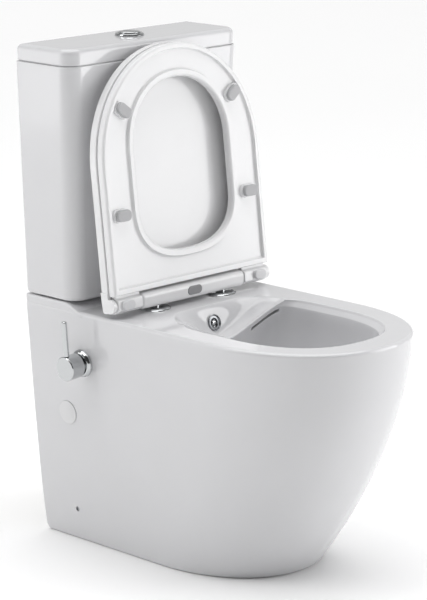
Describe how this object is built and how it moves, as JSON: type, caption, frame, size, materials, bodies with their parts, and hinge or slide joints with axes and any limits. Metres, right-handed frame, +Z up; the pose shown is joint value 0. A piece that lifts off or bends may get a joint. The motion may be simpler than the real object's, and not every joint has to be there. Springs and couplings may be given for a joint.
{
  "type": "close coupled bidet toilet",
  "caption": "Close-coupled ceramic toilet with a raised soft-close seat, a dual flush button, a side mixer and a bidet jet in the pan.",
  "frame": {"origin": "on the floor, on the symmetry plane, at the middle of the pan's rear foot; the wall plane is 15 mm behind it", "axes": "+Z up, -Y towards the nose of the pan, +Y towards the wall, the mixer on the -X side"},
  "size_m": [0.4068, 0.6218, 0.827],
  "materials": {
    "glaze": "white vitreous china, gloss glaze",
    "seat": "white moulded duroplast, gloss",
    "pads": "light grey soft plastic, matte",
    "release": "mid grey plastic, satin",
    "chrome": "polished chrome plate",
    "brass": "machined brass, satin",
    "steel": "zinc plated steel",
    "white_plastic": "white moulded plastic, satin",
    "blue_plastic": "pale blue moulded plastic, satin",
    "black_rubber": "black rubber, matte",
    "cap": "white plastic, gloss",
    "braid": "woven steel braid"
  },
  "bodies": {
    "pan_body": {"pan": "glaze", "cistern": "glaze", "cistern_lid": "glaze", "hinge_bar": "seat", "button_bezel": "chrome", "button_nut": "white_plastic", "flush_valve_body": "white_plastic", "flush_valve_nut": "white_plastic", "coupling_gasket": "black_rubber", "fill_valve_tower": "white_plastic", "fill_valve_nut": "white_plastic", "mixer_flange": "chrome", "mixer_body": "chrome", "mixer_back_nut": "brass", "mixer_inlet": "brass", "nozzle_bezel": "chrome", "nozzle_jet": "chrome", "nozzle_nut": "brass", "nozzle_hose": "braid", "blank_cap": "cap", "hinge_disc_left": "chrome", "hinge_disc_right": "chrome", "damper_pin_left": "white_plastic", "damper_pin_right": "white_plastic", "hinge_bolt_left": "steel", "hinge_bolt_right": "steel", "hinge_washer_left": "black_rubber", "hinge_washer_right": "black_rubber", "hinge_wing_nut_left": "white_plastic", "hinge_wing_nut_right": "white_plastic", "coupling_bolt_left": "brass", "coupling_bolt_right": "brass", "coupling_washer_left": "black_rubber", "coupling_washer_right": "black_rubber", "coupling_wing_nut_left": "brass", "coupling_wing_nut_right": "brass", "floor_bracket_left": "white_plastic", "floor_bracket_right": "white_plastic", "side_screw_left": "steel", "side_screw_right": "steel"},
    "lid": {"seat_lid": "seat"},
    "ring": {"seat_ring": "seat", "seat_buffer_front_left": "pads", "seat_buffer_front_right": "pads", "seat_buffer_rear_left": "pads", "seat_buffer_rear_right": "pads", "lug_pad_left": "pads", "lug_pad_right": "pads"},
    "release": {"release_button": "release"},
    "full_flush": {"button_full": "chrome", "push_rod_full": "white_plastic"},
    "half_flush": {"button_half": "chrome", "push_rod_half": "white_plastic"},
    "flush_lift": {"flush_valve_lift": "blue_plastic"},
    "fill_float": {"fill_valve_float": "blue_plastic"},
    "handle": {"mixer_handle": "chrome", "mixer_lever": "chrome"}
  },
  "joints": [
    {"name": "lid_hinge", "type": "hinge", "parent": "pan_body", "child": "lid", "pos_m": [0, -0.182, 0.42], "axis": [1, 0, 0], "range_deg": [0, 96.5]},
    {"name": "ring_hinge", "type": "hinge", "parent": "lid", "child": "ring", "pos_m": [0, -0.182, 0.42], "axis": [-1, 0, 0], "range_deg": [-96.5, 0]},
    {"name": "release_press", "type": "slide", "parent": "pan_body", "child": "release", "axis": [0, 1, 0], "range_m": [0, 0.0022], "stiffness_N_per_m": 400},
    {"name": "full_flush_press", "type": "slide", "parent": "pan_body", "child": "full_flush", "axis": [0, 0, -1], "range_m": [0, 0.006], "stiffness_N_per_m": 300, "springref_m": -0.003},
    {"name": "half_flush_press", "type": "slide", "parent": "pan_body", "child": "half_flush", "axis": [0, 0, -1], "range_m": [0, 0.006], "stiffness_N_per_m": 300, "springref_m": -0.003},
    {"name": "flush_valve_rise", "type": "slide", "parent": "pan_body", "child": "flush_lift", "axis": [0, 0, 1], "range_m": [0, 0.014]},
    {"name": "fill_float_rise", "type": "slide", "parent": "pan_body", "child": "fill_float", "axis": [0, 0, 1], "range_m": [0, 0.08]},
    {"name": "mixer_turn", "type": "hinge", "parent": "pan_body", "child": "handle", "pos_m": [-0.17152, -0.112, 0.3153], "axis": [0.9973, 0, 0.0729], "range_deg": [0, 90]}
  ],
  "couplings": [
    {"joint": "flush_valve_rise", "follows": "full_flush_press", "ratio": 2.3}
  ]
}
